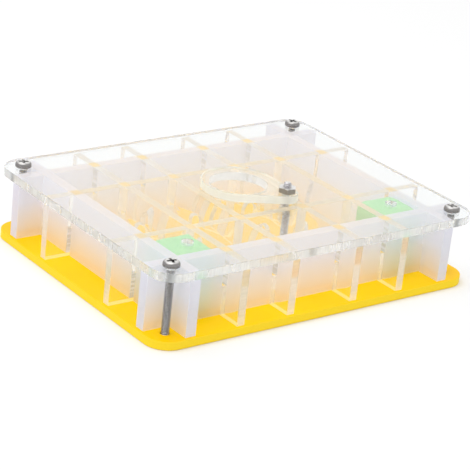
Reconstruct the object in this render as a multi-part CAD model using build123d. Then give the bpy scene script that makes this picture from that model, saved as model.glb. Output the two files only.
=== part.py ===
from build123d import *
import os

# Ant habitat: a yellow base plate, a clear lid plate and, standing on edge between them, an
# egg-crate of ten panels that half-lap into each other and divide the nest into fifteen cells.
# Four corner screws clamp the stack. A clear cover swings on a fifth screw over the access
# hole in the lid. All sizes are in millimetres. X runs along the long side, the front is -Y,
# and the origin is the centre of the base plate's underside.

# --- Driving dimensions -----------------------------------------------------------------

# The two plates and the panels between them
plate_length = 130.0
plate_width = 103.0
plate_corner_radius = 8.0
base_thickness = 3.0
lid_thickness = 3.0
panel_height = 20.0
wall_thickness = 4.0
divider_thickness = 3.0

# The panel ends stop short of the plates' edges and stand out past the frosted walls
panel_end_inset = 1.0
side_tab = 9.5
front_tab = 9.5

# Clear widths of the cells in the middle, the outermost cells take what is left
middle_column_width = 23.2
inner_column_width = 17.0
middle_row_width = 36.0

# Fit of the half laps, on each side of a slot and at its bottom
lap_clearance = 0.1

# Arched ant passages at the foot of each divider
passage_width = 6.0
passage_height = 6.0

# Corner screws, M3 with low pan heads, tapped into the base
thread_diameter = 3.0
screw_hole_clearance = 0.1
screw_inset = 6.8
screw_engagement = 2.0
screw_head_diameter = 5.6
screw_head_height = 1.8
screw_head_rim = 0.7
screw_tip_chamfer = 0.4
recess_width = 0.8
recess_span = 3.0
recess_depth = 1.0

# Access hole in the lid and the cover that swings over it
access_hole_diameter = 20.0
cover_margin = 3.0
cover_thickness = 3.0
cover_ear_radius = 4.0
cover_swing_clearance = 0.06
cover_lift_play = 0.05

# Pivot screw and its thin nut, in the front right corner of the middle cell
pivot_side_gap = 1.0
pivot_front_gap = 1.4
pivot_head_diameter = 5.6
pivot_stub = 1.7
nut_width = 5.5
nut_height = 1.8
nut_corner_chamfer = 0.3
nut_turn = 8.0

# Water sponges in the two front corner cells, which reach up to the lid, and the holes above them
water_hole_diameter = 4.0
water_hole_wall_gap = 4.0
sponge_wall_gap = 0.3
sponge_passage_gap = 1.1
sponge_top_gap = 0.4
sponge_edge_radius = 1.0

# --- Places worked out from the driving dimensions ---------------------------------------

panel_floor = base_thickness
lid_underside = base_thickness + panel_height
lid_top = lid_underside + lid_thickness
cover_top = lid_top + cover_thickness
thread_radius = thread_diameter / 2

long_panel_length = plate_length - 2 * panel_end_inset
cross_panel_length = plate_width - 2 * panel_end_inset
side_wall_x = long_panel_length / 2 - side_tab - wall_thickness / 2
front_wall_y = cross_panel_length / 2 - front_tab - wall_thickness / 2
inner_divider_x = (middle_column_width + divider_thickness) / 2
outer_divider_x = inner_divider_x + inner_column_width + divider_thickness
long_divider_y = (middle_row_width + divider_thickness) / 2

side_wall_places = [-side_wall_x, side_wall_x]
front_wall_places = [-front_wall_y, front_wall_y]
cross_divider_places = [-outer_divider_x, -inner_divider_x, inner_divider_x, outer_divider_x]
long_divider_places = [-long_divider_y, long_divider_y]

# Inner faces of the panels round the outermost cells
side_wall_face = side_wall_x - wall_thickness / 2
front_wall_face = front_wall_y - wall_thickness / 2
outer_divider_face = outer_divider_x + divider_thickness / 2
long_divider_face = long_divider_y + divider_thickness / 2

# Middles of the columns and rows of cells, where the passages are
outer_column_x = (side_wall_face + outer_divider_face) / 2
inner_column_x = (inner_divider_x + outer_divider_x) / 2
outer_row_y = (front_wall_face + long_divider_face) / 2
column_places = [-outer_column_x, -inner_column_x, 0, inner_column_x, outer_column_x]
row_places = [-outer_row_y, 0, outer_row_y]

water_hole_y = -(front_wall_face - water_hole_wall_gap - water_hole_diameter / 2)
screw_x = plate_length / 2 - screw_inset
screw_y = plate_width / 2 - screw_inset

pivot_x = middle_column_width / 2 - pivot_side_gap - thread_radius
pivot_y = -(middle_row_width / 2 - pivot_front_gap - thread_radius)
nut_bottom = cover_top + cover_lift_play
pivot_tip = nut_bottom + nut_height + pivot_stub


# --- Plates ------------------------------------------------------------------------------

def round_hole(x, y, radius, low, high):
    """A drill through everything between two heights."""
    return Pos(x, y, (low + high) / 2) * Cylinder(radius, high - low)


def plate(low, thickness):
    """A rounded sheet as large as the habitat."""
    outline = RectangleRounded(plate_length, plate_width, plate_corner_radius)
    return Pos(0, 0, low) * extrude(outline, thickness)


def corner_holes(radius, low, high):
    """The four screw holes near the plate's corners."""
    return [
        round_hole(x, y, radius, low, high)
        for x in (-screw_x, screw_x)
        for y in (-screw_y, screw_y)
    ]


def make_base_plate():
    """The floor, tapped at its corners and countersunk from below for the pivot screw."""
    base = plate(0, base_thickness)
    base -= corner_holes(thread_radius, 0, base_thickness)
    base -= round_hole(pivot_x, pivot_y, thread_radius + screw_hole_clearance, 0, base_thickness)
    base -= pivot_head()
    return base


def make_lid_plate():
    """The clear top sheet with its access, water and screw holes."""
    lid = plate(lid_underside, lid_thickness)
    clearance_radius = thread_radius + screw_hole_clearance
    lid -= corner_holes(clearance_radius, lid_underside, lid_top)
    lid -= round_hole(pivot_x, pivot_y, clearance_radius, lid_underside, lid_top)
    lid -= round_hole(0, 0, access_hole_diameter / 2, lid_underside, lid_top)
    for x in (-outer_column_x, outer_column_x):
        lid -= round_hole(x, water_hole_y, water_hole_diameter / 2, lid_underside, lid_top)
    return lid


# --- Half-lapped panels --------------------------------------------------------------------

def slot(place, crossing_thickness, opens_up):
    """A half-lap slot for a panel that crosses here, open at the top or the bottom edge."""
    width = crossing_thickness + 2 * lap_clearance
    depth = panel_height / 2 + lap_clearance
    middle = panel_height - depth / 2 if opens_up else depth / 2
    return Pos(place, middle) * Rectangle(width, depth)


def passage(place):
    """An arched doorway at the foot of a panel."""
    arch_radius = passage_width / 2
    straight = passage_height - arch_radius
    doorway = Pos(place, straight / 2) * Rectangle(passage_width, straight)
    return doorway + Pos(place, straight) * Circle(arch_radius)


def panel(length, thickness, walls, dividers, opens_up, passages):
    """A panel along X, standing on the base, with slots for what crosses it."""
    profile = Pos(0, panel_height / 2) * Rectangle(length, panel_height)
    profile -= [slot(place, wall_thickness, opens_up) for place in walls]
    profile -= [slot(place, divider_thickness, opens_up) for place in dividers]
    profile -= [passage(place) for place in passages]
    upright = Plane((0, 0, panel_floor), x_dir=(1, 0, 0), z_dir=(0, -1, 0))
    return extrude(upright * profile, thickness / 2, both=True)


def long_panel(place, thickness, passages):
    """A panel along the long side: its slots are open at the top."""
    places = side_wall_places, cross_divider_places
    return Pos(0, place, 0) * panel(long_panel_length, thickness, *places, True, passages)


def cross_panel(place, thickness, passages):
    """A panel from front to back: its slots are open at the bottom."""
    places = front_wall_places, long_divider_places
    flat = panel(cross_panel_length, thickness, *places, False, passages)
    return Pos(place, 0, 0) * Rot(0, 0, 90) * flat


# --- Fasteners -----------------------------------------------------------------------------

def cross_recess():
    """The driver's cross, sunk below the plane it is placed on."""
    cross = Rectangle(recess_span, recess_width) + Rectangle(recess_width, recess_span)
    return extrude(cross, -recess_depth)


def domed_head():
    """A pan head: a straight rim under a shallow dome, with its driver's cross."""
    head_radius = screw_head_diameter / 2
    rise = screw_head_height - screw_head_rim
    dome_radius = (head_radius ** 2 + rise ** 2) / (2 * rise)
    dome = Pos(0, 0, screw_head_height - dome_radius) * Sphere(dome_radius)
    head = extrude(Circle(head_radius), screw_head_height) & dome
    return head - Pos(0, 0, screw_head_height) * cross_recess()


def make_corner_screw(x, y):
    """A pan-head screw, clamping the lid and tapped into the base."""
    shank_length = lid_thickness + panel_height + screw_engagement
    shank = extrude(Circle(thread_radius), -shank_length)
    shank = chamfer(shank.edges().sort_by(Axis.Z)[0], screw_tip_chamfer)
    return Pos(x, y, lid_top) * (domed_head() + shank)


def pivot_head():
    """The countersunk cone of the pivot screw, flush with the base's underside."""
    head_radius = pivot_head_diameter / 2
    height = head_radius - thread_radius
    return Pos(pivot_x, pivot_y, height / 2) * Cone(head_radius, thread_radius, height)


def make_pivot_screw():
    """The long screw that holds the cover down and that it turns on."""
    shank = extrude(Circle(thread_radius), pivot_tip)
    shank = chamfer(shank.edges().sort_by(Axis.Z)[-1], screw_tip_chamfer)
    screw = pivot_head() + Pos(pivot_x, pivot_y, 0) * shank
    return screw - Pos(pivot_x, pivot_y, 0) * Rot(180, 0, 0) * cross_recess()


def make_pivot_nut():
    """A hexagon nut with its corners turned off at both ends."""
    hexagon = RegularPolygon(nut_width / 2, 6, major_radius=False)
    blank = extrude(hexagon, nut_height)
    corner_radius = nut_width / 2 / 0.75 ** 0.5
    envelope = extrude(Circle(corner_radius), nut_height)
    envelope = chamfer(envelope.edges().filter_by(GeomType.CIRCLE), nut_corner_chamfer)
    nut = (blank & envelope) - extrude(Circle(thread_radius), nut_height)
    return Pos(pivot_x, pivot_y, nut_bottom) * Rot(0, 0, nut_turn) * nut


# --- Cover and sponges -----------------------------------------------------------------------

def make_swing_cover():
    """A teardrop that covers the access hole and narrows to an ear round the pivot."""
    disc = Circle(access_hole_diameter / 2 + cover_margin)
    ear = Pos(pivot_x, pivot_y) * Circle(cover_ear_radius)
    outline = make_hull(disc.edges() + ear.edges())
    hole = Pos(pivot_x, pivot_y) * Circle(thread_radius + cover_swing_clearance)
    return Pos(0, 0, lid_top) * extrude(outline - hole, cover_thickness)


def make_sponge(side):
    """A block of sponge in a front corner cell, side is -1 on the left and 1 on the right."""
    length = side_wall_face - outer_divider_face - sponge_wall_gap - sponge_passage_gap
    width = front_wall_face - long_divider_face - sponge_wall_gap - sponge_passage_gap
    middle_x = side * (side_wall_face - sponge_wall_gap - length / 2)
    middle_y = -(front_wall_face - sponge_wall_gap - width / 2)
    outline = RectangleRounded(length, width, sponge_edge_radius)
    block = extrude(outline, panel_height - sponge_top_gap)
    return Pos(middle_x, middle_y, panel_floor) * block


# --- The habitat, one named piece at a time ----------------------------------------------------

pieces = {
    "base_plate": make_base_plate(),
    "lid_plate": make_lid_plate(),
    "front_wall": long_panel(-front_wall_y, wall_thickness, []),
    "back_wall": long_panel(front_wall_y, wall_thickness, []),
    "left_wall": cross_panel(-side_wall_x, wall_thickness, []),
    "right_wall": cross_panel(side_wall_x, wall_thickness, []),
    "front_long_divider": long_panel(-long_divider_y, divider_thickness, column_places),
    "back_long_divider": long_panel(long_divider_y, divider_thickness, column_places),
    "swing_cover": make_swing_cover(),
    "pivot_screw": make_pivot_screw(),
    "pivot_nut": make_pivot_nut(),
    "left_sponge": make_sponge(-1),
    "right_sponge": make_sponge(1),
    "front_left_screw": make_corner_screw(-screw_x, -screw_y),
    "front_right_screw": make_corner_screw(screw_x, -screw_y),
    "back_left_screw": make_corner_screw(-screw_x, screw_y),
    "back_right_screw": make_corner_screw(screw_x, screw_y),
}
for number, place in enumerate(cross_divider_places, start=1):
    pieces[f"cross_divider_{number}"] = cross_panel(place, divider_thickness, row_places)

os.makedirs("parts", exist_ok=True)
for name, piece in pieces.items():
    export_step(piece, f"parts/{name}.step")
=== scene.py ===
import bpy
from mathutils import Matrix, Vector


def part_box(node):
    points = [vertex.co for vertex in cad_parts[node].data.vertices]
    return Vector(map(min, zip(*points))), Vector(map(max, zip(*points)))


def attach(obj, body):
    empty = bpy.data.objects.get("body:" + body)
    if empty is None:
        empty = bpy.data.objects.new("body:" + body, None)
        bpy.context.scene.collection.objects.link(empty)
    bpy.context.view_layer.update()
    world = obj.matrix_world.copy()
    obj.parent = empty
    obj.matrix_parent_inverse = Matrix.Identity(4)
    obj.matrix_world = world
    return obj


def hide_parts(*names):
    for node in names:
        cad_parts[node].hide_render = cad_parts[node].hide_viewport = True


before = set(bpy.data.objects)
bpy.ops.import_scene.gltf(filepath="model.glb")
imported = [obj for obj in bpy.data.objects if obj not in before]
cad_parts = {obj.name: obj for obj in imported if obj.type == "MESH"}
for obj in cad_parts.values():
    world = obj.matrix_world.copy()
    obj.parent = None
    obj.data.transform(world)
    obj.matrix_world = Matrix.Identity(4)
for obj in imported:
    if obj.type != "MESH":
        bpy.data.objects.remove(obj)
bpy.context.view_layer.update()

import logging
import math
from dataclasses import dataclass, field
from enum import Enum
from functools import reduce
from typing import Any, Callable

import bmesh
import bpy
from mathutils import Quaternion, Vector

# Looks of a flat ant habitat: clear and frosted sheets half-lapped into an egg-crate between a
# yellow base and a clear lid, held by four long screws, with a swinging cover and two sponges.

logging.basicConfig(level=logging.INFO, format="%(message)s")
log = logging.getLogger("ant_habitat")

Colour = tuple[float, float, float]
Point = tuple[float, float, float]
Span = tuple[float, float]

MM = 0.001
ACRYLIC_BEND = 1.49  # refractive index
NOISE_MIDDLE = 0.5
MILK_ROUGHNESS = 0.6
LEVEL_RANGE: Span = (0.5, 0.8)  # how much a face looks up or down, from upright to level
WHITE: Colour = (1.0, 1.0, 1.0)
# Painted amber light of the base, where panels lap.
AMBER: Colour = (0.86, 0.62, 0.24)


class Slot(Enum):
    """Material slots of the record."""

    YELLOW = "yellow_acrylic"
    CLEAR = "clear_acrylic"
    FROSTED = "frosted_acrylic"
    STEEL = "zinc_steel"
    SPONGE = "green_sponge"


class Across(Enum):
    """The axis a sheet's thickness runs along, as the X, Y, Z shares of that axis."""

    X = (1.0, 0.0, 0.0)
    Y = (0.0, 1.0, 0.0)
    Z = (0.0, 0.0, 1.0)


# --- Shader maths ---


class Wire:
    """An output socket that adds a Math node whenever it is calculated with."""

    def __init__(self, board: "Board", socket: bpy.types.NodeSocket) -> None:
        """Keeps the socket and the board it is on."""
        self.board = board
        self.socket = socket

    def maths(self, operation: str, *values: Any) -> "Wire":
        """Returns the result of one Math node with those inputs, numbers or wires."""
        inputs = dict(enumerate(values))
        return self.board.node("ShaderNodeMath", {"operation": operation}, inputs, "Value")

    def __add__(self, other: Any) -> "Wire":
        """Returns self + other."""
        return self.maths("ADD", self, other)

    def __radd__(self, other: Any) -> "Wire":
        """Returns other + self."""
        return self.maths("ADD", other, self)

    def __sub__(self, other: Any) -> "Wire":
        """Returns self - other."""
        return self.maths("SUBTRACT", self, other)

    def __rsub__(self, other: Any) -> "Wire":
        """Returns other - self."""
        return self.maths("SUBTRACT", other, self)

    def __mul__(self, other: Any) -> "Wire":
        """Returns self * other."""
        return self.maths("MULTIPLY", self, other)

    def __rmul__(self, other: Any) -> "Wire":
        """Returns other * self."""
        return self.maths("MULTIPLY", other, self)

    def __abs__(self) -> "Wire":
        """Returns the size of self."""
        return self.maths("ABSOLUTE", self)

    def clamped(self) -> "Wire":
        """Returns self kept between 0 and 1."""
        return self.maths("MINIMUM", self.maths("MAXIMUM", self, 0.0), 1.0)

    def or_more(self, other: "Wire") -> "Wire":
        """Returns the larger of the two."""
        return self.maths("MAXIMUM", self, other)

    def ramp(self, low: float, high: float) -> "Wire":
        """Returns 0 where self is low, 1 where it is high and an even run between them."""
        return ((self - low) * (1.0 / (high - low))).clamped()


class Board:
    """The node tree of one material or world, filled from the left to the right."""

    def __init__(self, owner: bpy.types.Material | bpy.types.World) -> None:
        """Empties the node tree of a new material or world.

        Args:
            owner: The material or world.
        """
        self.owner = owner
        owner.use_nodes = True
        self.tree = owner.node_tree
        self.tree.nodes.clear()

    @classmethod
    def of_material(cls, name: str) -> "Board":
        """Starts a material of that name."""
        return cls(bpy.data.materials.new(name))

    def plug(self, into: bpy.types.NodeSocket, value: Any) -> None:
        """Sets an input socket to a number or colour, or links a wire to it.

        Args:
            into: The input socket.
            value: A number, a colour or a wire.
        """
        if isinstance(value, Wire):
            self.tree.links.new(value.socket, into)
        elif into.type == "RGBA":
            into.default_value = (*value[:3], 1.0)
        else:
            into.default_value = value

    def node(self, kind: str, settings: dict, inputs: dict, output: Any = 0) -> Wire:
        """Adds any node.

        Args:
            kind: Blender's type name of the node.
            settings: Its settings, set before the inputs.
            inputs: Numbers, colours or wires by socket name or number.
            output: The output that is wanted, by name or number.

        Returns:
            The wire on that output.
        """
        made = self.tree.nodes.new(kind)
        for name, value in settings.items():
            setattr(made, name, value)
        for name, value in inputs.items():
            self.plug(made.inputs[name], value)
        return Wire(self, made.outputs[output])

    def rays(self, *kinds: str) -> Wire:
        """Returns 1 for rays of those kinds, named as the Light Path node's outputs."""
        found = [self.node("ShaderNodeLightPath", {}, {}, kind) for kind in kinds]
        return reduce(Wire.or_more, found)

    def places(self) -> Wire:
        """Returns the object coordinates of the surface, in metres."""
        return self.node("ShaderNodeTexCoord", {}, {}, "Object")

    def along(self, across: Across) -> Wire:
        """Returns the object coordinate along one axis, in metres."""
        return self.node("ShaderNodeSeparateXYZ", {}, {"Vector": self.places()}, across.name)

    def stretched(self, scale: Point) -> Wire:
        """Returns the object coordinates in pattern units, given per metre along X, Y and Z."""
        values = {"Vector": self.places(), "Scale": scale}
        return self.node("ShaderNodeMapping", {"vector_type": "POINT"}, values, "Vector")

    def noise(self, scale: Point, detail: float) -> Wire:
        """Returns soft noise between 0 and 1, with that many blobs per metre along each axis."""
        values = {"Vector": self.stretched(scale), "Scale": 1.0, "Detail": detail}
        return self.node("ShaderNodeTexNoise", {}, values, "Fac")

    def cells(self, per_metre: float) -> Wire:
        """Returns the distance from the middle of round cells, with that many to the metre."""
        values = {"Vector": self.stretched((per_metre,) * 3), "Scale": 1.0}
        return self.node("ShaderNodeTexVoronoi", {}, values, "Distance")

    def facing(self, across: Across) -> Wire:
        """Compares the surface's direction with an axis.

        Args:
            across: The axis.

        Returns:
            1 where the surface faces along the axis and 0 where it faces across it.
        """
        normal = self.node("ShaderNodeTexCoord", {}, {}, "Normal")
        settings = {"operation": "DOT_PRODUCT"}
        along = self.node("ShaderNodeVectorMath", settings, {0: normal, 1: across.value}, "Value")
        return abs(along)

    def level(self) -> Wire:
        """Returns 1 on faces that look up or down and 0 on upright ones."""
        return self.facing(Across.Z).ramp(*LEVEL_RANGE)

    def mixed(self, share: Any, first: Any, second: Any) -> Wire:
        """Mixes two colours, with the share of the second one."""
        settings = {"data_type": "RGBA", "blend_type": "MIX"}
        return self.node("ShaderNodeMix", settings, {0: share, 6: first, 7: second}, 2)

    def bump(self, height: Wire, strength: float, distance: float) -> Wire:
        """Returns a normal bumped by heights, where 1 stands that distance high in metres."""
        values = {"Height": height, "Strength": strength, "Distance": distance}
        return self.node("ShaderNodeBump", {}, values, "Normal")

    def shader(self, inputs: dict) -> Wire:
        """Adds a Principled shader with those inputs."""
        return self.node("ShaderNodeBsdfPrincipled", {}, inputs, "BSDF")

    def blend(self, share: Any, first: Wire, second: Wire) -> Wire:
        """Mixes two shaders, with the share of the second one."""
        values = {0: share, 1: first, 2: second}
        return self.node("ShaderNodeMixShader", {}, values, "Shader")

    def milk(self, colour: Any, through: Colour, passed: Any) -> Wire:
        """Scatters light back from a milky body and on through it.

        Args:
            colour: The colour of what comes back, a colour or a wire.
            through: The colour of what goes through.
            passed: The share that goes through, a number or a wire.

        Returns:
            The combined shader.
        """
        matt = {"Roughness": MILK_ROUGHNESS, "Specular IOR Level": 0.0}
        back = self.shader({"Base Color": colour} | matt)
        on = self.node("ShaderNodeBsdfTranslucent", {}, {"Color": through}, "BSDF")
        return self.blend(passed, back, on)

    def lets_light_in(self, sheet: Wire, tint: Colour) -> Wire:
        """Lets lamp light and bounced light straight through a sheet.

        Args:
            sheet: The shader that is seen.
            tint: What is left of the light behind the sheet.

        Returns:
            The combined shader.
        """
        clear = self.node("ShaderNodeBsdfTransparent", {}, {"Color": tint}, "BSDF")
        for kind in ("Is Diffuse Ray", "Is Shadow Ray"):
            sheet = self.blend(self.rays(kind), sheet, clear)
        return sheet

    def done(self, surface: Wire) -> bpy.types.ID:
        """Ends the material or world.

        Args:
            surface: Its surface shader.

        Returns:
            The finished material or world.
        """
        output = self.tree.nodes.new(f"ShaderNodeOutput{type(self.owner).__name__}")
        self.plug(output.inputs["Surface"], surface)
        return self.owner


# --- Finishes ---


@dataclass(frozen=True)
class Patches:
    """Soft patches of wear in a finish, full where the noise is highest."""

    per_metre: float
    detail: float
    begin: float
    full: float

    def mask(self, board: Board) -> Wire:
        """Returns 1 in the patches and 0 between them."""
        return board.noise((self.per_metre,) * 3, self.detail).ramp(self.begin, self.full)


SCUFFS = Patches(per_metre=900.0, detail=4.0, begin=0.55, full=0.8)


@dataclass(frozen=True)
class CutEdge:
    """The fine ridges that a laser leaves on a sheet's cut edges, along its thickness."""

    ridges_per_metre: float = 1300.0
    blocks_per_metre: float = 325.0
    blocks: float = 0.2
    along_thickness: float = 40.0
    detail: float = 1.0
    height: float = 0.12 * MM
    face_range: Span = (0.6, 0.8)

    def edge(self, board: Board, across: Across) -> Wire:
        """Returns 1 on the cut edges of a sheet and 0 on its faces."""
        return 1.0 - board.facing(across).ramp(*self.face_range)

    def ridges(self, board: Board, across: Across) -> Wire:
        """Draws the ridges.

        Args:
            board: The material's board.
            across: The axis of the sheet's thickness.

        Returns:
            Ridge heights between 0 and 1.
        """
        fine, coarse = (
            board.noise(
                tuple(self.along_thickness if share else per_metre for share in across.value),
                self.detail,
            )
            for per_metre in (self.ridges_per_metre, self.blocks_per_metre)
        )
        return fine * (1.0 - self.blocks) + coarse * self.blocks


@dataclass(frozen=True)
class LapGlow:
    """The amber tone that comes up through the panels where two of them lap, painted in as light of
    the base.
    """

    cross_dividers: tuple[float, ...]
    side_walls: tuple[float, ...]
    long_dividers: tuple[float, ...]
    front_walls: tuple[float, ...]
    amber_reach: Span = (1.2 * MM, 2.4 * MM)
    slot_reach: Span = (2.2 * MM, 2.6 * MM)

    def near(self, board: Board, axis: Across, places: tuple[float, ...], reach: Span) -> Wire:
        """Masks what is close to any of the places along an axis, on both sides of the origin.

        Args:
            board: The material's board.
            axis: The axis.
            places: The distances from the origin in metres.
            reach: How far the mask is full, and where it ends.

        Returns:
            1 close to the places and 0 away from them.
        """
        distance = abs(board.along(axis))
        masks = [1.0 - abs(distance - place).ramp(*reach) for place in places]
        return reduce(Wire.or_more, masks)

    def mask(self, board: Board) -> Wire:
        """Finds the laps on the faces that look up or down.

        Args:
            board: The material's board.

        Returns:
            1 on the laps.
        """
        every_long = self.long_dividers + self.front_walls
        laps = self.near(board, Across.X, self.cross_dividers, self.amber_reach)
        laps = laps * self.near(board, Across.Y, every_long, self.amber_reach)
        side_laps = self.near(board, Across.X, self.side_walls, self.amber_reach)
        side_laps = side_laps * self.near(board, Across.Y, self.long_dividers, self.amber_reach)
        return laps.or_more(side_laps) * board.level()

    def slots(self, board: Board, across: Across) -> Wire:
        """Finds the upright sides of a sheet's slots.

        Args:
            board: The material's board.
            across: The axis of the sheet's thickness.

        Returns:
            1 on and near the slots' sides.
        """
        upright = 1.0 - board.level()
        if across is Across.X:
            every_long = self.long_dividers + self.front_walls
            return self.near(board, Across.Y, every_long, self.slot_reach) * upright
        return self.near(board, Across.X, self.cross_dividers, self.slot_reach) * upright


@dataclass(frozen=True)
class BaseGlow:
    """The light of the yellow base in the panels, painted into their milky colour, strongest at
    their feet.
    """

    warm: Colour = (1.0, 0.76, 0.30)
    pale: Colour = (0.92, 0.93, 0.97)
    warm_from: float = 14.0 * MM
    warm_to: float = 4.0 * MM
    foot: float = 3.3 * MM
    fade: float = 0.1 * MM

    def warmth(self, board: Board) -> Wire:
        """Returns 1 at the foot of a panel and 0 higher up."""
        return board.along(Across.Z).ramp(self.warm_from, self.warm_to)

    def colour(self, board: Board) -> Wire:
        """Returns the colour of the milky light in a panel at each height."""
        return board.mixed(self.warmth(board), self.pale, self.warm)

    def at_foot(self, board: Board) -> Wire:
        """Returns 1 on the edge that stands on the base."""
        low = board.along(Across.Z).ramp(self.foot + self.fade, self.foot)
        return low * board.level()

    def at_top(self, board: Board) -> Wire:
        """Returns 1 on the edges above the base that face up or down."""
        high = board.along(Across.Z).ramp(self.foot + self.fade, self.foot + 2.0 * self.fade)
        return high * board.level()


@dataclass(frozen=True)
class ClearFinish:
    """Clear acrylic with a slight bloom on its faces and laser-cut edges that scatter light."""

    name: str = "clear_acrylic"
    tint: Colour = (0.992, 0.996, 0.995)
    edge_tint: Colour = (0.97, 0.975, 0.97)
    groove: Colour = (0.80, 0.82, 0.81)
    slot_colour: Colour = (0.88, 0.77, 0.62)
    behind: Colour = WHITE
    bloom_colour: Colour = (1.0, 0.99, 0.98)
    edge_colour: Colour = (0.82, 0.75, 0.68)
    top_colour: Colour = (0.74, 0.67, 0.57)
    bend: float = ACRYLIC_BEND
    gloss: float = 0.015
    scuff_roughness: float = 0.03
    edge_roughness: float = 0.08
    top_roughness: float = 0.4
    bloom: float = 0.008
    scuff_bloom: float = 0.02
    edge_bloom: float = 0.5
    foot_bloom: float = 0.7
    top_bloom: float = 0.1
    glow_bloom: float = 0.05
    lap_bloom: float = 0.5
    slot_bloom: float = 0.3
    passed: float = 0.5
    streaks: float = 0.25
    groove_range: Span = (0.45, 0.7)
    ridge_bump: float = 0.1
    laps: LapGlow | None = None
    glow: BaseGlow | None = None
    cut: CutEdge = CutEdge()

    def material(self, across: Across) -> bpy.types.Material:
        """Mixes the finish for the sheets that stand or lie one way.

        Args:
            across: The axis of their thickness.

        Returns:
            The material.
        """
        board = Board.of_material(f"{self.name}_{across.name.lower()}")
        edge = self.cut.edge(board, across)
        ridges = self.cut.ridges(board, across)
        scuffs = SCUFFS.mask(board)
        normal = board.bump(ridges * edge, self.ridge_bump, self.cut.height)
        # Painted shade: a darker tint in a pattern that follows the cut ridges.
        edge_tint = board.mixed(ridges.ramp(*self.groove_range), self.edge_tint, self.groove)
        tint = board.mixed(edge, self.tint, edge_tint)
        face = self.glow.colour(board) if self.glow else self.bloom_colour
        bloom = board.mixed(edge, face, self.edge_colour)
        share = edge * (self.edge_bloom - self.bloom) + scuffs * self.scuff_bloom + self.bloom
        share = share + (ridges - NOISE_MIDDLE) * edge * self.streaks
        passed = self.passed
        rough = edge * self.edge_roughness + scuffs * self.scuff_roughness + self.gloss
        if self.glow:
            top = self.glow.at_top(board)
            rough = rough + top * self.top_roughness
            bloom = board.mixed(top, bloom, self.top_colour)
            share = share + top * self.top_bloom
            passed = (1.0 - top) * self.passed
        if self.laps:
            lap = self.laps.mask(board)
            slots = self.laps.slots(board, across) * edge
            # Painted amber light of the base on the laps.
            tint = board.mixed(lap, tint, AMBER)
            # Painted amber light on the laps and painted warm shade on the slots' sides.
            bloom = board.mixed(slots, board.mixed(lap, bloom, AMBER), self.slot_colour)
            share = share + lap * self.lap_bloom + slots * self.slot_bloom
        if self.glow:
            # Painted warm light of the yellow base at the panel's foot and low down.
            foot = self.glow.at_foot(board)
            bloom = board.mixed(foot, bloom, self.glow.warm)
            share = share + foot * self.foot_bloom + self.glow.warmth(board) * self.glow_bloom
        inputs = {"Base Color": tint, "Roughness": rough, "Normal": normal}
        glass = board.shader(inputs | {"Transmission Weight": 1.0, "IOR": self.bend})
        milk = board.milk(bloom, self.bloom_colour, passed)
        surface = board.blend(share.clamped(), glass, milk)
        return board.done(board.lets_light_in(surface, self.behind))


@dataclass(frozen=True)
class FrostedFinish:
    """Milky sheet with satin faces, with the warm light of the yellow base painted into their
    colour towards the foot.
    """

    cool: Colour = (0.86, 0.87, 1.0)
    edge: Colour = (0.80, 0.80, 0.95)
    warm: Colour = (1.0, 0.76, 0.42)
    deep: Colour = (1.0, 0.66, 0.14)
    groove: Colour = (0.52, 0.51, 0.52)
    through: Colour = (0.87, 0.90, 1.0)
    behind: Colour = (0.98, 0.98, 1.0)
    warm_from: float = 16.0 * MM
    warm_to: float = 2.5 * MM
    deep_from: float = 6.5 * MM
    deep_to: float = 2.0 * MM
    bend: float = ACRYLIC_BEND
    satin: float = 0.42
    haze: float = 0.62
    edge_haze: float = 0.85
    passed: float = 0.4
    streaks: float = 0.8
    grain_per_metre: float = 2600.0
    grain_detail: float = 2.0
    grain_height: float = 0.4
    grain_roughness: float = 0.1
    ridge_height: float = 0.5
    relief: float = 0.5
    groove_range: Span = (0.42, 0.54)
    laps: LapGlow | None = None
    cut: CutEdge = CutEdge()

    def material(self, across: Across) -> bpy.types.Material:
        """Mixes the finish for the sheets that stand one way.

        Args:
            across: The axis of their thickness.

        Returns:
            The material.
        """
        board = Board.of_material(f"frosted_acrylic_{across.name.lower()}")
        edge = self.cut.edge(board, across)
        grain = board.noise((self.grain_per_metre,) * 3, self.grain_detail)
        cut = self.cut.ridges(board, across)
        ridges = cut * edge * self.ridge_height + grain * self.grain_height
        haze = edge * (self.edge_haze - self.haze) + self.haze
        haze = haze + (cut - NOISE_MIDDLE) * edge * self.streaks
        height = board.along(Across.Z)
        # Painted light of the yellow base on the faces: warm low down and deep amber near the foot.
        warmth = height.ramp(self.warm_from, self.warm_to) * (1.0 - edge)
        foot = height.ramp(self.deep_from, self.deep_to) * (1.0 - edge)
        body = board.mixed(warmth, board.mixed(edge, self.cool, self.edge), self.warm)
        body = board.mixed(foot, body, self.deep)
        if self.laps:
            # Painted shade in the ridges of the slots' sides.
            slot_groove_shade = self.laps.slots(board, across) * edge * cut.ramp(*self.groove_range)
            body = board.mixed(slot_groove_shade, body, self.groove)
            # Painted amber light of the base on the laps.
            body = board.mixed(self.laps.mask(board), body, AMBER)
        inputs = {
            "Base Color": body,
            "Roughness": grain * self.grain_roughness + self.satin,
            "Normal": board.bump(ridges, self.relief, self.cut.height),
        }
        sheet = board.shader(inputs | {"Transmission Weight": 1.0, "IOR": self.bend})
        milk = board.milk(body, self.through, self.passed)
        surface = board.blend(haze.clamped(), sheet, milk)
        return board.done(board.lets_light_in(surface, self.behind))


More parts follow.
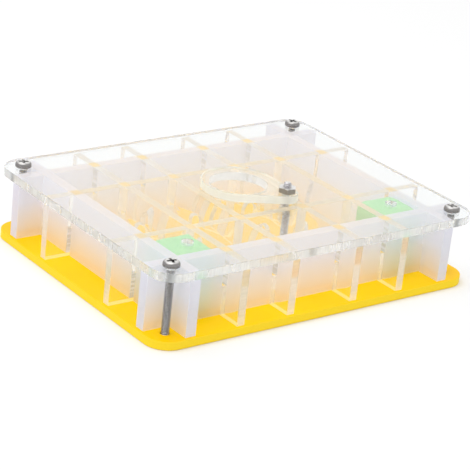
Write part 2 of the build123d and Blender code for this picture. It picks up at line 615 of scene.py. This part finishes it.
@dataclass(frozen=True)
class YellowFinish:
    """Opaque yellow acrylic, satin on its faces and cut at its edges, with painted light making the
    upright edges lighter.
    """

    yellow: Colour = (1.0, 0.60, 0.002)
    deep: Colour = (0.97, 0.55, 0.002)
    edge: Colour = (1.0, 0.72, 0.03)
    clouds: Patches = Patches(per_metre=45.0, detail=3.0, begin=0.35, full=0.75)
    satin: float = 0.16
    edge_roughness: float = 0.25
    scuff_roughness: float = 0.08
    scuff_height: float = 0.03
    relief: float = 0.6
    shine: float = 0.06
    cut: CutEdge = CutEdge()

    def material(self) -> bpy.types.Material:
        """Mixes the finish for the flat base.

        Returns:
            The material.
        """
        board = Board.of_material("yellow_acrylic_sheet")
        edge = self.cut.edge(board, Across.Z)
        scuffs = SCUFFS.mask(board)
        face = board.mixed(self.clouds.mask(board), self.yellow, self.deep)
        ridges = self.cut.ridges(board, Across.Z) * edge + scuffs * self.scuff_height
        rough = edge * self.edge_roughness + scuffs * self.scuff_roughness + self.satin
        inputs = {
            # Painted light: the upright cut edges are lighter than the top face.
            "Base Color": board.mixed(edge, face, self.edge),
            "Roughness": rough,
            "IOR": ACRYLIC_BEND,
            "Specular IOR Level": self.shine,
            "Normal": board.bump(ridges, self.relief, self.cut.height),
        }
        return board.done(board.shader(inputs))


@dataclass(frozen=True)
class SteelFinish:
    """Zinc-plated steel, with a painted highlight on faces that look up and painted shade on its
    sides and threads.
    """

    name: str = "zinc_steel_plated"
    # bright is the colour of the painted highlight, dull that of the painted shade.
    bright: Colour = (0.85, 0.84, 0.82)
    dull: Colour = (0.27, 0.26, 0.255)
    matt: float = 0.14
    clouds: Patches = Patches(per_metre=700.0, detail=3.0, begin=0.35, full=0.65)
    worn_range: Span = (0.72, 1.0)
    tarnish: float = 0.3
    cloud_roughness: float = 0.08
    grain_scale: Point = (9000.0, 9000.0, 2500.0)
    grain_detail: float = 2.0
    grain_roughness: float = 0.08
    grain_height: float = 0.01 * MM
    relief: float = 0.25

    def material(self) -> bpy.types.Material:
        """Mixes the finish for one kind of fastener.

        Returns:
            The material.
        """
        board = Board.of_material(self.name)
        cloud = self.clouds.mask(board)
        # Painted highlight on faces that look up and painted shade on upright ones, dimmed in
        # patches of tarnish.
        painted_top_light = board.facing(Across.Z).ramp(*self.worn_range) * (1.0 - cloud * self.tarnish)
        grain = board.noise(self.grain_scale, self.grain_detail)
        rough = cloud * self.cloud_roughness + grain * self.grain_roughness + self.matt
        inputs = {
            "Base Color": board.mixed(painted_top_light, self.dull, self.bright),
            "Metallic": 1.0,
            "Roughness": rough,
            "Normal": board.bump(grain, self.relief, self.grain_height),
        }
        return board.done(board.shader(inputs))


@dataclass(frozen=True)
class SpongeFinish:
    """Open-cell green sponge, with painted shade in its pores."""

    pale: Colour = (0.40, 0.74, 0.34)
    pore: Colour = (0.16, 0.50, 0.20)
    pores_per_metre: float = 1300.0
    pore_range: Span = (0.10, 0.45)
    pore_share: float = 0.7
    pore_depth: float = 0.6
    grain_per_metre: float = 3200.0
    grain_detail: float = 3.0
    grain_height: float = 0.4
    grain_roughness: float = 0.1
    matt: float = 0.85
    relief: float = 0.8
    height: float = 0.3 * MM

    def material(self) -> bpy.types.Material:
        """Mixes the finish for the water sponges.

        Returns:
            The material.
        """
        board = Board.of_material("green_sponge_cells")
        pores = 1.0 - board.cells(self.pores_per_metre).ramp(*self.pore_range)
        grain = board.noise((self.grain_per_metre,) * 3, self.grain_detail)
        height = grain * self.grain_height - pores * self.pore_depth
        # Painted shade: darker green in the pores.
        pore_shade = (pores * self.pore_share).clamped()
        inputs = {
            "Base Color": board.mixed(pore_shade, self.pale, self.pore),
            "Roughness": grain * self.grain_roughness + self.matt,
            "Normal": board.bump(height, self.relief, self.height),
        }
        return board.done(board.shader(inputs))


# --- Modelling by operators ---

DOUBLES = 0.002 * MM
STEEP = 0.9  # the least share of Z in the normal of a face that looks up or down

Wanted = Callable[[Any], bool]


def added(name: str, data: Any) -> bpy.types.Object:
    """Adds an object with that mesh, camera or lamp to the scene.

    Args:
        name: The object's name.
        data: What it holds.

    Returns:
        The object.
    """
    made = bpy.data.objects.new(name, data)
    bpy.context.scene.collection.objects.link(made)
    return made


def everything(part: Any) -> bool:
    """Wants every element."""
    return True


def looks_up(face: bmesh.types.BMFace) -> bool:
    """Wants the faces that look up."""
    return face.normal.z > STEEP


def looks_down(face: bmesh.types.BMFace) -> bool:
    """Wants the faces that look down."""
    return face.normal.z < -STEEP


def is_level(face: bmesh.types.BMFace) -> bool:
    """Wants the faces that look up or down."""
    return abs(face.normal.z) > STEEP


class Bench:
    """The active piece and the operators that shape it."""

    def __init__(self, name: str, add: Callable[..., Any], **sizes: Any) -> None:
        """Adds a primitive as a new piece.

        Args:
            name: The piece's name.
            add: The primitive operator.
            sizes: Its sizes and place.
        """
        self.leave()
        add(**sizes)
        self.piece = bpy.context.active_object
        self.piece.name = name
        self.piece.data.name = name

    @staticmethod
    def leave() -> None:
        """Deselects everything in object mode."""
        if bpy.context.object and bpy.context.object.mode != "OBJECT":
            bpy.ops.object.mode_set(mode="OBJECT")
        bpy.ops.object.select_all(action="DESELECT")

    def only(self) -> None:
        """Makes this piece the one selected and active object."""
        self.leave()
        self.piece.select_set(True)
        bpy.context.view_layer.objects.active = self.piece

    def edit(self, kind: str, wanted: Wanted = everything) -> None:
        """Opens edit mode with the wanted elements selected.

        Args:
            kind: VERT, EDGE or FACE.
            wanted: Says if an element is selected.
        """
        self.only()
        bpy.ops.object.mode_set(mode="EDIT")
        bpy.ops.mesh.select_mode(type=kind)
        bpy.ops.mesh.select_all(action="DESELECT")
        mesh = bmesh.from_edit_mesh(self.piece.data)
        parts = {"VERT": mesh.verts, "EDGE": mesh.edges, "FACE": mesh.faces}[kind]
        for part in parts:
            if wanted(part):
                part.select_set(True)
        mesh.select_flush_mode()
        bmesh.update_edit_mesh(self.piece.data)

    def close(self) -> None:
        """Goes back to object mode."""
        bpy.ops.object.mode_set(mode="OBJECT")

    def tidy(self) -> None:
        """Merges doubled points and turns all faces outwards."""
        self.edit("VERT")
        bpy.ops.mesh.remove_doubles(threshold=DOUBLES)
        bpy.ops.mesh.select_all(action="SELECT")
        bpy.ops.mesh.normals_make_consistent(inside=False)
        self.close()

    def bevel(self, kind: str, wanted: Wanted, size: float, segments: int) -> None:
        """Chamfers or rounds edges.

        Args:
            kind: EDGE, or FACE for the edges round the wanted faces.
            wanted: Says if an element is selected.
            size: The bevel's width in metres.
            segments: 1 for a chamfer, more for a round.
        """
        self.edit(kind, wanted)
        bpy.ops.mesh.bevel(offset=size, segments=segments, affect="EDGES")
        self.close()

    def modify(self, kind: str, **settings: Any) -> None:
        """Adds a modifier and applies it.

        Args:
            kind: Blender's type name of the modifier.
            settings: Its settings.
        """
        self.only()
        modifier = self.piece.modifiers.new(kind.lower(), kind)
        for name, value in settings.items():
            setattr(modifier, name, value)
        bpy.ops.object.modifier_apply(modifier=modifier.name)

    def combine(self, other: "Bench", operation: str) -> None:
        """Does a UNION, DIFFERENCE or INTERSECT with another piece, which is used up."""
        self.modify("BOOLEAN", operation=operation, object=other.piece, solver="EXACT")
        other.remove()

    def remove(self) -> None:
        """Deletes the piece and its mesh."""
        mesh = self.piece.data
        bpy.data.objects.remove(self.piece)
        bpy.data.meshes.remove(mesh)

    def settle(self) -> None:
        """Puts the piece's place into its mesh, with its object at the origin."""
        self.only()
        bpy.ops.object.transform_apply(location=True, rotation=True, scale=True)

    def reshape(self, transform: Callable[..., Any], **values: Any) -> None:
        """Transforms all of the mesh.

        Args:
            transform: The transform operator.
            values: Its values.
        """
        self.edit("VERT")
        transform(**values)
        self.close()

    def move(self, x: float, y: float, z: float) -> None:
        """Moves all of the mesh, in metres."""
        self.reshape(bpy.ops.transform.translate, value=(x, y, z))

    def turn(self, angle: float, axis: str = "Z") -> None:
        """Turns all of the mesh about an axis through the origin, in radians."""
        turned = {"value": angle, "orient_axis": axis, "center_override": (0, 0, 0)}
        self.reshape(bpy.ops.transform.rotate, **turned)

    @classmethod
    def copied(cls, source: bpy.types.Object, name: str) -> "Bench":
        """Puts a copy of an object with its own mesh on a bench.

        Args:
            source: The object to copy.
            name: The copy's name.

        Returns:
            The copy on its bench.
        """
        twin = cls.__new__(cls)
        twin.piece = added(name, source.data.copy())
        twin.piece.data.name = name
        return twin

    def smooth(self, degrees: float = 25.0) -> None:
        """Shades smooth across edges blunter than an angle."""
        self.only()
        bpy.ops.object.shade_smooth_by_angle(angle=math.radians(degrees))

    def dress(self, material: bpy.types.Material, slot: Slot, body: str, *nodes: str) -> None:
        """Gives the piece its finish and its place in the model.

        Args:
            material: The finish.
            slot: The record's material slot; not used.
            body: The body it rides on.
            nodes: The CAD nodes it stands for.
        """
        self.piece.data.materials.clear()
        self.piece.data.materials.append(material)
        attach(self.piece, body)
        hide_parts(*nodes)
        log.info("%s: %d faces", self.piece.name, len(self.piece.data.polygons))


def middle_of(node: str) -> Vector:
    """Returns the middle of a CAD node's box."""
    low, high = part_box(node)
    return (low + high) / 2


def cylinder(name: str, sides: int, radius: float, height: float, past: float = 0.0) -> Bench:
    """Makes a cylinder that stands on the origin.

    Args:
        name: The piece's name.
        sides: How many sides it has.
        radius: Its radius in metres.
        height: Its height in metres.
        past: How far it runs past both ends, in metres.

    Returns:
        The cylinder on its bench.
    """
    made = Bench(
        name,
        bpy.ops.mesh.primitive_cylinder_add,
        vertices=sides,
        radius=radius,
        depth=height + 2.0 * past,
        location=(0, 0, height / 2),
    )
    made.settle()
    return made


# --- Sheets ---

FRONT_AND_BACK_WALLS = ("front_wall", "back_wall")
SIDE_WALLS = ("left_wall", "right_wall")
LONG_DIVIDERS = ("front_long_divider", "back_long_divider")
CROSS_DIVIDERS = tuple(f"cross_divider_{number}" for number in range(1, 5))


@dataclass
class Sheets:
    """The plates and panels with eased edges and a hair of air where they touch."""

    lid: ClearFinish = ClearFinish(
        "clear_lid",
        tint=(0.955, 0.975, 0.975),
        edge_tint=(0.93, 0.955, 0.955),
        bloom_colour=(0.80, 0.82, 0.92),
        bloom=0.04,
        edge_colour=(0.86, 0.91, 0.92),
        edge_roughness=0.2,
        edge_bloom=0.3,
        streaks=0.5,
        ridge_bump=0.03,
        cut=CutEdge(blocks_per_metre=160.0, blocks=0.5),
    )
    cover: ClearFinish = ClearFinish(
        "clear_cover",
        bloom_colour=(0.85, 0.94, 1.0),
        edge_colour=(0.93, 0.98, 1.0),
        passed=0.3,
        edge_roughness=0.03,
        bloom=0.02,
        edge_bloom=0.6,
        streaks=0.8,
        ridge_bump=0.05,
        cut=CutEdge(ridges_per_metre=110.0),
    )
    yellow: YellowFinish = YellowFinish()
    ease: float = 0.12 * MM
    air: float = 0.02 * MM
    flat_within: float = math.radians(0.5)
    eased_from: float = math.radians(50)

    def sheet(self, node: str, material: bpy.types.Material, slot: Slot, body: str) -> None:
        """Dresses one sheet.

        Args:
            node: Its CAD node.
            material: Its finish.
            slot: The record's material slot.
            body: The body it rides on.
        """
        low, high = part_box(node)
        piece = Bench.copied(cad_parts[node], f"{node}_sheet")
        piece.tidy()
        piece.edit("FACE")
        bpy.ops.mesh.dissolve_limited(angle_limit=self.flat_within)
        bpy.ops.mesh.select_all(action="SELECT")
        thinner = 1.0 - 2.0 * self.air / (high.z - low.z)
        bpy.ops.transform.resize(value=(1.0, 1.0, thinner), center_override=(low + high) / 2)
        piece.close()
        limit = {"limit_method": "ANGLE", "angle_limit": self.eased_from}
        piece.modify("BEVEL", width=self.ease, segments=1, **limit)
        piece.smooth()
        piece.dress(material, slot, body, node)

    def laps(self) -> LapGlow:
        """Reads from the frame where the panels cross.

        Returns:
            The glow of those laps.
        """
        rows = ((0, CROSS_DIVIDERS), (0, SIDE_WALLS), (1, LONG_DIVIDERS), (1, FRONT_AND_BACK_WALLS))
        places = []
        for axis, nodes in rows:
            found = {round(abs(middle_of(node)[axis]), 6) for node in nodes}
            places.append(tuple(sorted(found)))
        return LapGlow(*places)

    def build(self) -> None:
        """Dresses the base, the lid, the cover, the walls and the dividers."""
        self.sheet("base_plate", self.yellow.material(), Slot.YELLOW, "root")
        self.sheet("lid_plate", self.lid.material(Across.Z), Slot.CLEAR, "root")
        self.sheet("swing_cover", self.cover.material(Across.Z), Slot.CLEAR, "cover")
        frosted = FrostedFinish(laps=self.laps())
        clear = ClearFinish(bend=1.25, gloss=0.03, passed=0.35, laps=self.laps(), glow=BaseGlow())
        for finish, slot, across, nodes in (
            (frosted, Slot.FROSTED, Across.Y, FRONT_AND_BACK_WALLS),
            (frosted, Slot.FROSTED, Across.X, SIDE_WALLS),
            (clear, Slot.CLEAR, Across.Y, LONG_DIVIDERS),
            (clear, Slot.CLEAR, Across.X, CROSS_DIVIDERS),
        ):
            material = finish.material(across)
            for node in nodes:
                self.sheet(node, material, slot, "root")


# --- Fasteners ---


@dataclass
class Fasteners:
    """Threaded screws with cross recesses, and the hexagon nut of the pivot."""

    steel: SteelFinish = SteelFinish()
    pivot_steel: SteelFinish = SteelFinish("zinc_steel_pivot", dull=(0.44, 0.43, 0.45), matt=0.2)
    nut_steel: SteelFinish = SteelFinish("zinc_steel_nut", dull=(0.36, 0.34, 0.31), matt=0.34)
    pitch: float = 0.5 * MM
    thread_depth: float = 0.32 * MM
    thread_radius: float = 1.36 * MM
    thread_steps: int = 20
    thread_weld: float = 0.001 * MM
    spare_turns: int = 2
    spare_length: float = 0.1 * MM
    tip_chamfer: float = 0.4 * MM
    tip_sides: int = 40
    tip_skin: float = 0.01 * MM
    head_radius: float = 2.8 * MM
    head_height: float = 1.8 * MM
    head_round: float = 1.1 * MM
    head_rim: float = 0.12 * MM
    head_sides: int = 64
    head_sunk: float = 0.3 * MM
    recess_span: float = 5.2 * MM
    recess_width: float = 1.15 * MM
    recess_depth: float = 1.4 * MM
    recess_taper: Point = (0.3, 0.6, 1.0)
    cone_sides: int = 48
    cone_top: float = 0.9
    nut_width: float = 5.5 * MM
    nut_chamfer: float = 0.35 * MM
    nut_skin: float = 0.02 * MM
    nut_play: float = 0.03 * MM
    nut_turn: float = math.radians(8.0)
    smooth_below: float = 32.0
    corner_turns: dict[str, float] = field(
        default_factory=lambda: {
            "front_left_screw": 0.15,
            "front_right_screw": 0.85,
            "back_left_screw": 0.45,
            "back_right_screw": 1.2,
        }
    )

    def threaded_rod(self, name: str, length: float) -> Bench:
        """Makes a threaded rod that stands on the origin, with both ends chamfered.

        Args:
            name: The piece's name.
            length: The rod's length in metres.

        Returns:
            The rod on its bench.
        """
        rod = Bench(
            name, bpy.ops.mesh.primitive_circle_add, vertices=3, radius=1.0, fill_type="NOTHING"
        )
        rod.turn(math.pi / 2)
        rod.turn(math.pi / 2, "X")
        tip = max(rod.piece.data.vertices, key=lambda vert: abs(vert.co.x)).co.x
        # A triangle with its corners 1 from its middle is 1.5 deep and has sides of sqrt(3).
        width = self.thread_depth / 1.5
        size = (math.copysign(width, tip), 1.0, self.pitch / math.sqrt(3.0))
        rod.reshape(bpy.ops.transform.resize, value=size, center_override=(0, 0, 0))
        rod.move(self.thread_radius - width, 0, -self.pitch)
        rod.edit("EDGE", lambda edge: abs(edge.verts[0].co.x - edge.verts[1].co.x) < DOUBLES)
        bpy.ops.mesh.delete(type="EDGE")
        rod.close()
        rod.modify(
            "SCREW",
            axis="Z",
            angle=2 * math.pi,
            screw_offset=self.pitch,
            iterations=math.ceil(length / self.pitch) + self.spare_turns,
            steps=self.thread_steps,
            render_steps=self.thread_steps,
            use_merge_vertices=True,
            merge_threshold=self.thread_weld,
        )
        rod.tidy()
        for height, way in ((-self.spare_length, -1), (length + self.spare_length, 1)):
            rod.edit("FACE")
            bpy.ops.mesh.bisect(
                plane_co=(0, 0, height), plane_no=(0, 0, way), use_fill=True, clear_outer=True
            )
            rod.close()
        rod.tidy()
        limit = cylinder("rod_limit", self.tip_sides, self.thread_radius + self.tip_skin, length)
        limit.bevel("FACE", is_level, self.tip_chamfer, segments=1)
        rod.combine(limit, "INTERSECT")
        return rod

    def recess(self, height: float) -> list[Bench]:
        """Makes the cutters of a cross recess sunk below a height.

        Args:
            height: The top of the head in metres.

        Returns:
            The two crossed wedges.
        """
        wedges = []
        for number in range(2):
            wedge = Bench(
                f"recess_wedge_{number}",
                bpy.ops.mesh.primitive_cube_add,
                size=1.0,
                scale=(self.recess_span, self.recess_width, self.recess_depth * 2),
                location=(0, 0, height),
            )
            wedge.settle()
            wedge.edit("FACE", looks_down)
            bpy.ops.transform.resize(value=self.recess_taper)
            wedge.close()
            wedge.turn(number * math.pi / 2)
            wedges.append(wedge)
        return wedges

    def pan_head(self) -> Bench:
        """Makes a pan head that stands on the origin, with its recess.

        Returns:
            The head on its bench.
        """
        head = cylinder("pan_head", self.head_sides, self.head_radius, self.head_height)
        head.bevel("FACE", looks_up, self.head_round, segments=8)
        head.bevel("FACE", looks_down, self.head_rim, segments=2)
        for wedge in self.recess(self.head_height):
            head.combine(wedge, "DIFFERENCE")
        return head

    def corner_screws(self) -> None:
        """Makes the four corner screws."""
        material = self.steel.material()
        low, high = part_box("front_left_screw")
        length = high.z - low.z - self.head_height
        model = self.threaded_rod("screw_model", length + self.head_sunk)
        head = self.pan_head()
        head.move(0, 0, length)
        model.combine(head, "UNION")
        model.tidy()
        for node, angle in self.corner_turns.items():
            place = middle_of(node)
            screw = Bench.copied(model.piece, f"{node}_threaded")
            screw.turn(angle)
            screw.move(place.x, place.y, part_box(node)[0].z)
            screw.smooth(self.smooth_below)
            screw.dress(material, Slot.STEEL, "root", node)
        model.remove()

    def pivot(self) -> None:
        """Makes the pivot screw with its countersunk head."""
        place = middle_of("pivot_screw")
        low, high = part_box("pivot_screw")
        screw = self.threaded_rod("pivot_screw_threaded", high.z - low.z)
        cone_height = (high.x - low.x) / 2 - self.thread_radius
        cone = Bench(
            "countersunk_head",
            bpy.ops.mesh.primitive_cone_add,
            vertices=self.cone_sides,
            radius1=(high.x - low.x) / 2,
            radius2=self.thread_radius * self.cone_top,
            depth=cone_height,
            location=(0, 0, cone_height / 2),
        )
        cone.settle()
        screw.combine(cone, "UNION")
        for wedge in self.recess(0.0):
            screw.combine(wedge, "DIFFERENCE")
        screw.tidy()
        screw.move(place.x, place.y, low.z)
        screw.smooth(self.smooth_below)
        screw.dress(self.pivot_steel.material(), Slot.STEEL, "root", "pivot_screw")

    def nut(self) -> None:
        """Makes the hexagon nut with turned corners."""
        low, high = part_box("pivot_nut")
        depth = high.z - low.z
        corner = self.nut_width / math.sqrt(3.0)
        nut = cylinder("pivot_nut_turned", 6, corner, depth)
        nut.turn(math.pi / 6)
        limit = cylinder("nut_limit", self.head_sides, corner + self.nut_skin, depth)
        limit.bevel("FACE", is_level, self.nut_chamfer, segments=2)
        nut.combine(limit, "INTERSECT")
        bore_radius = self.thread_radius + self.nut_play
        bore = cylinder("nut_bore", self.cone_sides, bore_radius, depth, past=depth / 4)
        nut.combine(bore, "DIFFERENCE")
        nut.turn(self.nut_turn)
        place = middle_of("pivot_nut")
        nut.move(place.x, place.y, low.z)
        nut.smooth()
        nut.dress(self.nut_steel.material(), Slot.STEEL, "root", "pivot_nut")

    def build(self) -> None:
        """Makes all the fasteners in plated steel."""
        self.corner_screws()
        self.pivot()
        self.nut()


# --- Sponges ---


@dataclass
class WaterSponges:
    """The two blocks of open-cell sponge, cut by hand and a little uneven."""

    finish: SpongeFinish = SpongeFinish()
    edge_round: float = 0.9 * MM
    cut_size: float = 0.7 * MM
    swell: float = 0.45 * MM
    lump_size: float = 4.0 * MM
    cell_size: float = 1.3 * MM
    cell_share: float = 0.8
    smooth_below: float = 60.0
    nodes: tuple[str, ...] = ("left_sponge", "right_sponge")

    def build(self) -> None:
        """Makes both sponges."""
        material = self.finish.material()
        for number, node in enumerate(self.nodes):
            low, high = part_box(node)
            size = high - low - Vector((1, 1, 1)) * self.swell
            block = Bench(
                f"{node}_block",
                bpy.ops.mesh.primitive_cube_add,
                size=1.0,
                scale=size,
                location=middle_of(node),
            )
            block.settle()
            block.bevel("EDGE", everything, self.edge_round, segments=3)
            block.modify("REMESH", mode="VOXEL", voxel_size=self.cut_size)
            for name, blob, strength in (
                ("lumps", self.lump_size, self.swell),
                ("cells", self.cell_size, self.swell * self.cell_share),
            ):
                pattern = bpy.data.textures.new(f"sponge_{name}_{number}", "CLOUDS")
                pattern.noise_scale = blob
                block.modify(
                    "DISPLACE", texture=pattern, strength=strength, mid_level=NOISE_MIDDLE
                )
            block.smooth(self.smooth_below)
            block.dress(material, Slot.SPONGE, "root", node)


# --- Studio ---


@dataclass
class Studio:
    """A white floor and world, one large soft lamp and the camera."""

    camera_place: Point = (-0.37461, -0.47016, 0.25908)
    azimuth: float = -38.62
    elevation: float = 22.61
    roll: float = 6.30
    lens: float = 144.85
    sensor: float = 36.0
    nearest: float = 0.01
    floor_size: float = 6.0
    floor_drop: float = 0.05 * MM
    floor_white: float = 0.80
    floor_glow: float = 0.07
    world_light: float = 0.90
    lamp_power: float = 6.0
    lamp_size: float = 1.2
    lamp_place: Point = (-0.35, 0.15, 1.1)
    bounces: int = 64

    def camera(self) -> None:
        """Sets the camera at the viewing angle."""
        data = bpy.data.cameras.new("camera")
        data.lens = self.lens
        data.sensor_width = self.sensor
        data.clip_start = self.nearest
        camera = added("camera", data)
        camera.location = self.camera_place
        azimuth, elevation = math.radians(self.azimuth), math.radians(self.elevation)
        flat = math.cos(elevation)
        back = Vector((math.sin(azimuth) * flat, -math.cos(azimuth) * flat, math.sin(elevation)))
        level = back.to_track_quat("Z", "Y")
        roll = Quaternion((0.0, 0.0, 1.0), math.radians(self.roll))
        camera.rotation_euler = (level @ roll).to_euler()
        bpy.context.scene.camera = camera

    def world(self) -> None:
        """Makes the world white to look at and a softer light on the object."""
        board = Board(bpy.data.worlds.new("white_room"))
        seen = board.rays("Is Camera Ray", "Is Glossy Ray", "Is Transmission Ray")
        softer, white = (
            board.node("ShaderNodeBackground", {}, {"Color": WHITE, "Strength": strength})
            for strength in (self.world_light, 1.0)
        )
        bpy.context.scene.world = board.done(board.blend(seen, softer, white))

    def floor(self) -> None:
        """Lays the white floor, which keeps the object's shadow."""
        ground = Bench(
            "floor",
            bpy.ops.mesh.primitive_plane_add,
            size=self.floor_size,
            location=(0, 0, -self.floor_drop),
        )
        ground.settle()
        board = Board.of_material("floor_white")
        paint = {"Color": (self.floor_white,) * 3}
        white = board.node("ShaderNodeBsdfDiffuse", {}, paint, "BSDF")
        glow = board.node("ShaderNodeEmission", {}, {"Strength": self.floor_glow}, "Emission")
        lit = board.node("ShaderNodeAddShader", {}, {0: white, 1: glow}, "Shader")
        surface = board.blend(board.rays("Is Camera Ray", "Is Glossy Ray"), white, lit)
        ground.piece.data.materials.append(board.done(surface))

    def lamp(self) -> None:
        """Hangs the soft lamp over the object."""
        data = bpy.data.lights.new("soft_lamp", "AREA")
        data.energy = self.lamp_power
        data.size = self.lamp_size
        lamp = added("soft_lamp", data)
        lamp.location = self.lamp_place
        lamp.rotation_euler = Vector(self.lamp_place).to_track_quat("Z", "Y").to_euler()

    def build(self) -> None:
        """Sets up the whole studio."""
        self.camera()
        self.world()
        self.floor()
        self.lamp()
        scene = bpy.context.scene
        scene.view_settings.view_transform = "Standard"
        for kind in ("max", "transmission", "glossy", "transparent_max"):
            setattr(scene.cycles, f"{kind}_bounces", self.bounces)


def main() -> None:
    """Builds the habitat's looks in order."""
    for part in (Studio(), Sheets(), Fasteners(), WaterSponges()):
        part.build()
        log.info("%s done", type(part).__name__)


if __name__ == "__main__":
    main()
